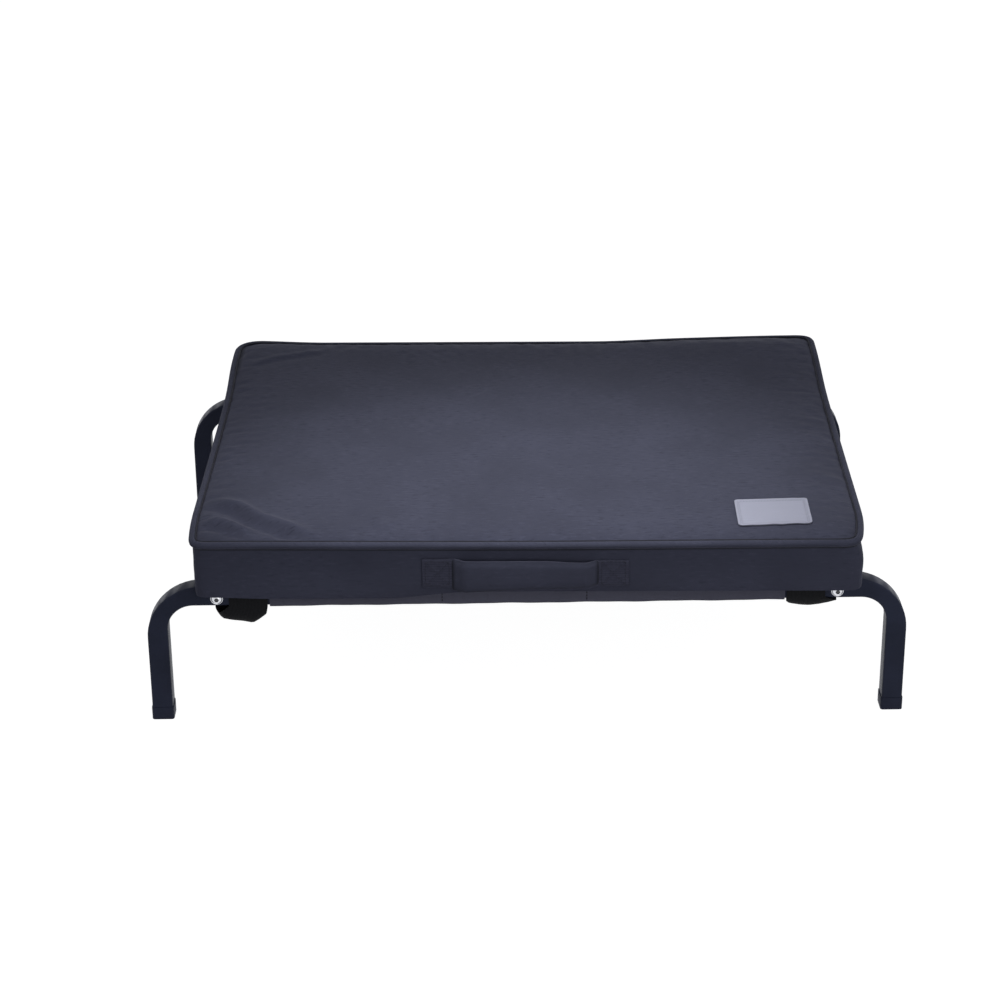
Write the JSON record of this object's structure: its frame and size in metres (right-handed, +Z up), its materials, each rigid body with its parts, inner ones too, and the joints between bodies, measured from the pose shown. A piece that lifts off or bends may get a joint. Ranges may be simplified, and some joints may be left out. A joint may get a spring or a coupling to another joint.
{
  "type": "raised dog cot",
  "caption": "Raised dog cot: bent square-tube frame bolted to cross rails, sleeved fabric sling, and a piped box cushion strapped on top with a front carry handle and a rear zip.",
  "frame": {"origin": "on the floor under the middle of the frame", "axes": "+X along the leg rails to the right, +Y from the front to the rear, +Z up"},
  "size_m": [0.9158, 0.6907, 0.2516],
  "materials": {
    "frame_paint": "satin",
    "foot_plastic": "matte",
    "bolt_steel": "polished",
    "sling_mesh": "matte",
    "sleeve_fabric": "matte",
    "foam": "matte",
    "cover_fabric": "matte",
    "piping_fabric": "matte",
    "label_fabric": "matte",
    "handle_fabric": "matte",
    "strap_webbing": "matte",
    "zip_tape": "matte",
    "zip_teeth": "satin",
    "zip_metal": "satin"
  },
  "bodies": {
    "frame": {"front_leg_rail": "frame_paint", "rear_leg_rail": "frame_paint", "left_cross_rail": "frame_paint", "right_cross_rail": "frame_paint", "front_left_foot_cap": "foot_plastic", "front_right_foot_cap": "foot_plastic", "rear_left_foot_cap": "foot_plastic", "rear_right_foot_cap": "foot_plastic", "corner_bolts": "bolt_steel", "bolt_washers": "bolt_steel", "threaded_plugs": "bolt_steel", "sling_deck": "sling_mesh", "front_sleeve": "sleeve_fabric", "rear_sleeve": "sleeve_fabric", "left_sleeve": "sleeve_fabric", "right_sleeve": "sleeve_fabric"},
    "cushion": {"foam_core": "foam", "cover_top_panel": "cover_fabric", "cover_bottom_panel": "cover_fabric", "cover_side_band": "cover_fabric", "top_piping": "piping_fabric", "cushion_label": "label_fabric", "handle_webbing": "handle_fabric", "front_left_strap": "strap_webbing", "front_right_strap": "strap_webbing", "rear_left_strap": "strap_webbing", "rear_right_strap": "strap_webbing", "zip_tapes": "zip_tape", "zip_teeth": "zip_teeth", "zip_stops": "zip_metal"},
    "handle": {"handle_grip": "handle_fabric"},
    "slider": {"zip_slider": "zip_metal"},
    "pull": {"zip_pull": "zip_metal"}
  },
  "joints": [
    {"name": "cushion_lift", "type": "slide", "parent": "frame", "child": "cushion", "axis": [0, 0, 1], "range_m": [0, 0.25], "deforming": ["front_left_strap", "front_right_strap", "rear_left_strap", "rear_right_strap"]},
    {"name": "handle_pull", "type": "slide", "parent": "cushion", "child": "handle", "axis": [-0.0209, -0.9998, 0], "range_m": [0, 0.025], "deforming": ["handle_webbing"]},
    {"name": "zip_slide", "type": "slide", "parent": "cushion", "child": "slider", "axis": [0.9998, -0.0209, 0], "range_m": [0, 0.61]},
    {"name": "zip_pull_swing", "type": "hinge", "parent": "slider", "child": "pull", "pos_m": [-0.29389, 0.34246, 0.209], "axis": [0, 0, 1], "range_deg": [0, 180]}
  ]
}
